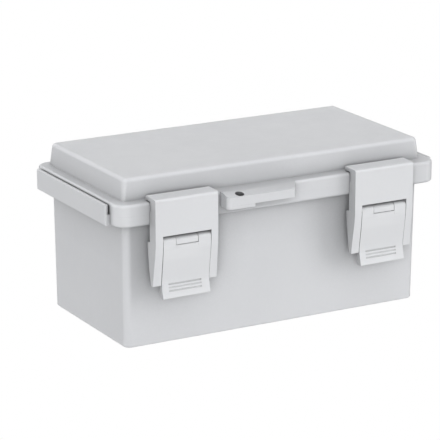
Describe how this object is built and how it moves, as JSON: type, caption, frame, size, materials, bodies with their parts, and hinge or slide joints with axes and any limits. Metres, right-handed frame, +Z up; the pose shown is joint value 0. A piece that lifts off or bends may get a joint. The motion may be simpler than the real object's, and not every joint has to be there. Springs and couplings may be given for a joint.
{
  "type": "hinged enclosure",
  "caption": "Rectangular plastic enclosure with a hinged flanged lid, over-centre draw latches, a padlock lug with finger pull and end guard bars.",
  "frame": {"origin": "centre of the case's underside", "axes": "+X along the long side, -Y out of the latch side, +Z up from the underside to the lid"},
  "size_m": [0.2158, 0.1263, 0.0993],
  "materials": {
    "shell_plastic": "moulded light grey polycarbonate, faint satin grain",
    "latch_plastic": "moulded light grey plastic, smooth satin",
    "seal_rubber": "matt black foam rubber",
    "pin_steel": "drawn stainless steel",
    "fixing_steel": "turned stainless steel",
    "plate_steel": "galvanised sheet steel",
    "insert_brass": "turned brass"
  },
  "bodies": {
    "base": {"body_shell": "shell_plastic", "hinge_pin_left": "pin_steel", "hinge_pin_right": "pin_steel", "latch_bracket_left": "latch_plastic", "latch_bracket_right": "latch_plastic", "bracket_screws": "fixing_steel", "lever_pivot_pin_left": "pin_steel", "lever_pivot_pin_right": "pin_steel", "mounting_plate": "plate_steel", "plate_screws": "fixing_steel", "plate_washers": "fixing_steel", "plate_inserts": "insert_brass", "base_inserts": "insert_brass"},
    "lid": {"lid_shell": "shell_plastic", "lid_gasket": "seal_rubber"},
    "lever_left": {"latch_lever_left": "latch_plastic"},
    "lever_right": {"latch_lever_right": "latch_plastic"},
    "frame_left": {"latch_frame_left": "latch_plastic", "frame_pin_left": "pin_steel"},
    "frame_right": {"latch_frame_right": "latch_plastic", "frame_pin_right": "pin_steel"}
  },
  "joints": [
    {"name": "lid_hinge", "type": "hinge", "parent": "base", "child": "lid", "pos_m": [0, 0.0576, 0.07975], "axis": [-1, 0, 0], "range_deg": [0, 110]},
    {"name": "lever_left_pivot", "type": "hinge", "parent": "base", "child": "lever_left", "pos_m": [-0.065, -0.0586, 0.0636], "axis": [-1, 0, 0], "range_deg": [0, 140]},
    {"name": "frame_left_link", "type": "hinge", "parent": "lever_left", "child": "frame_left", "pos_m": [-0.065, -0.0564, 0.0512], "axis": [-1, 0, 0], "range_deg": [-140, 0]},
    {"name": "lever_right_pivot", "type": "hinge", "parent": "base", "child": "lever_right", "pos_m": [0.065, -0.0586, 0.0636], "axis": [-1, 0, 0], "range_deg": [0, 140]},
    {"name": "frame_right_link", "type": "hinge", "parent": "lever_right", "child": "frame_right", "pos_m": [0.065, -0.0564, 0.0512], "axis": [-1, 0, 0], "range_deg": [-140, 0]}
  ],
  "couplings": [
    {"joint": "frame_left_link", "follows": "lever_left_pivot", "ratio": -1},
    {"joint": "frame_right_link", "follows": "lever_right_pivot", "ratio": -1}
  ]
}
